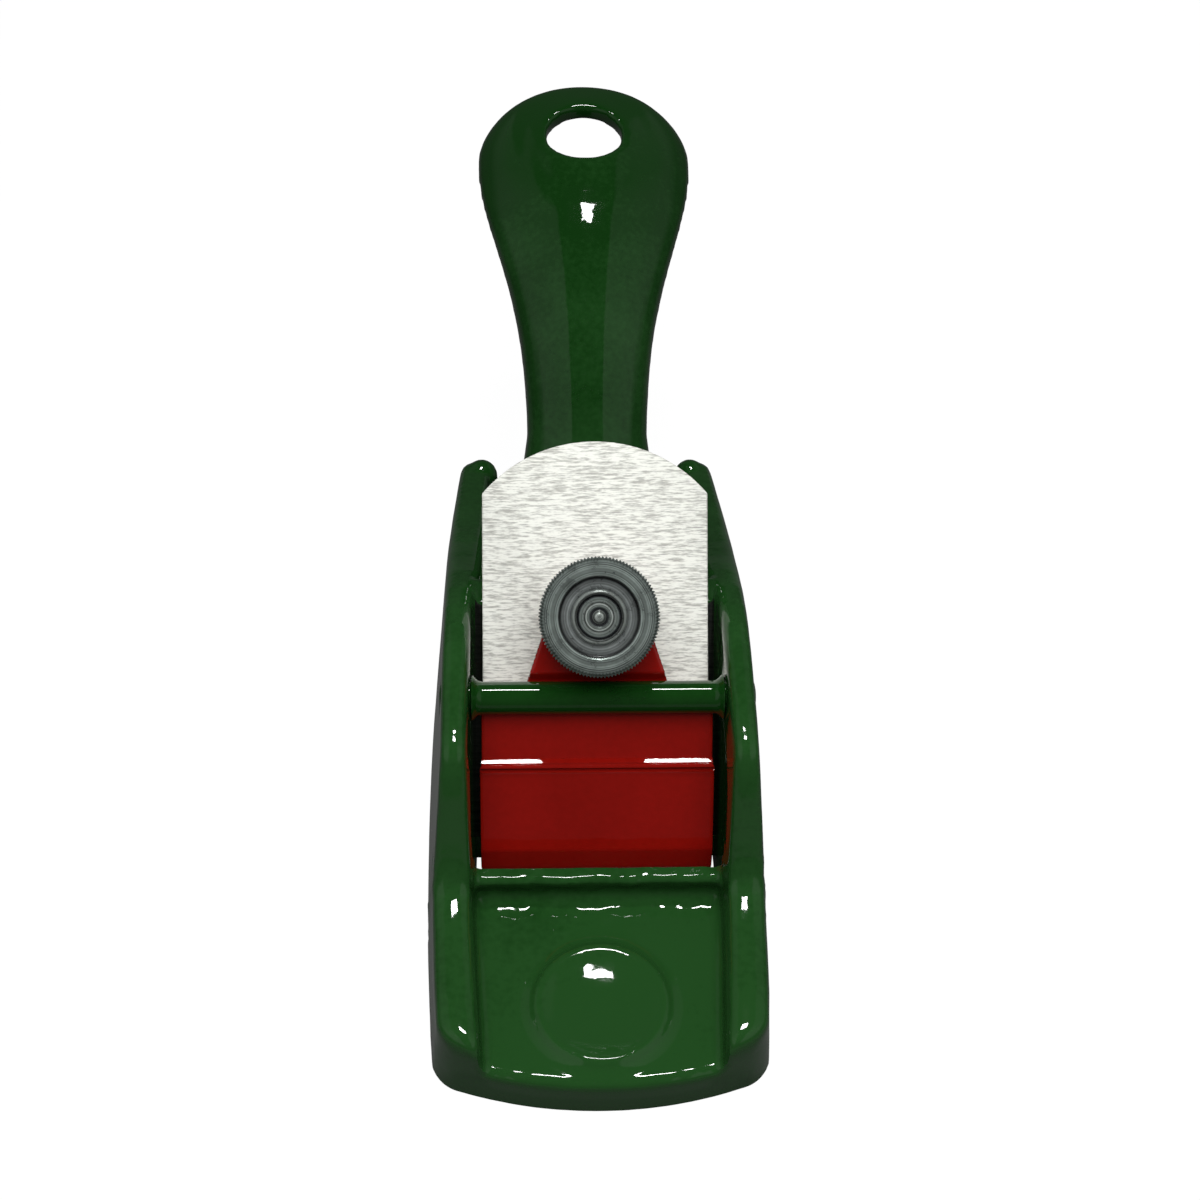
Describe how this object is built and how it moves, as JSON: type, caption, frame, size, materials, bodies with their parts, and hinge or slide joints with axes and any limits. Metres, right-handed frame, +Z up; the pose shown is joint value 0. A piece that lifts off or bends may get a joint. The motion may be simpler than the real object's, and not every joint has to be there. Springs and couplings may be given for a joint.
{
  "type": "pocket hand plane",
  "caption": "Squirrel-tail pocket plane: green cast body with a palm handle, bevel-down blade, red rocking lever cap, cross bar and knurled thumbscrew",
  "frame": {"origin": "On the sole's plane, half way between toe and heel and midway between the sides", "axes": "+Z up from the sole, +Y from the toe to the tail, +X to the right for someone looking from the toe"},
  "size_m": [0.0384, 0.1341, 0.042],
  "materials": {
    "body_enamel": "deep green gloss enamel over cast iron, sole ground bare",
    "bar_enamel": "the same green gloss enamel over a steel pin",
    "blade_steel": "ground tool steel with fine lines across the blade",
    "cap_enamel": "deep red gloss enamel over cast iron",
    "stud_steel": "dark turned steel",
    "head_steel": "dark turned steel with straight knurling"
  },
  "bodies": {
    "body": {"body_casting": "body_enamel", "cross_bar": "bar_enamel"},
    "iron": {"blade": "blade_steel"},
    "cap": {"lever_cap": "cap_enamel"},
    "stud": {"thumbscrew_stud": "stud_steel"},
    "head": {"thumbscrew_head": "head_steel"}
  },
  "joints": [
    {"name": "blade_slide", "type": "slide", "parent": "body", "child": "iron", "axis": [0, 0.7071, 0.7071], "range_m": [-0.0004, 0.028]},
    {"name": "cap_rock", "type": "hinge", "parent": "body", "child": "cap", "pos_m": [0, -0.0088, 0.0215], "axis": [-1, 0, 0], "range_deg": [0, 9.6]},
    {"name": "stud_travel", "type": "slide", "parent": "cap", "child": "stud", "axis": [0, -0.7071, 0.7071], "range_m": [0, 0.0016]},
    {"name": "head_turn", "type": "hinge", "parent": "stud", "child": "head", "pos_m": [0, 0.00188, 0.02298], "axis": [0, -0.7071, 0.7071], "range_deg": [0, 720]}
  ],
  "couplings": [
    {"joint": "head_turn", "follows": "stud_travel", "rad_per_m": 7854},
    {"joint": "cap_rock", "follows": "stud_travel", "rad_per_m": 104.65}
  ]
}
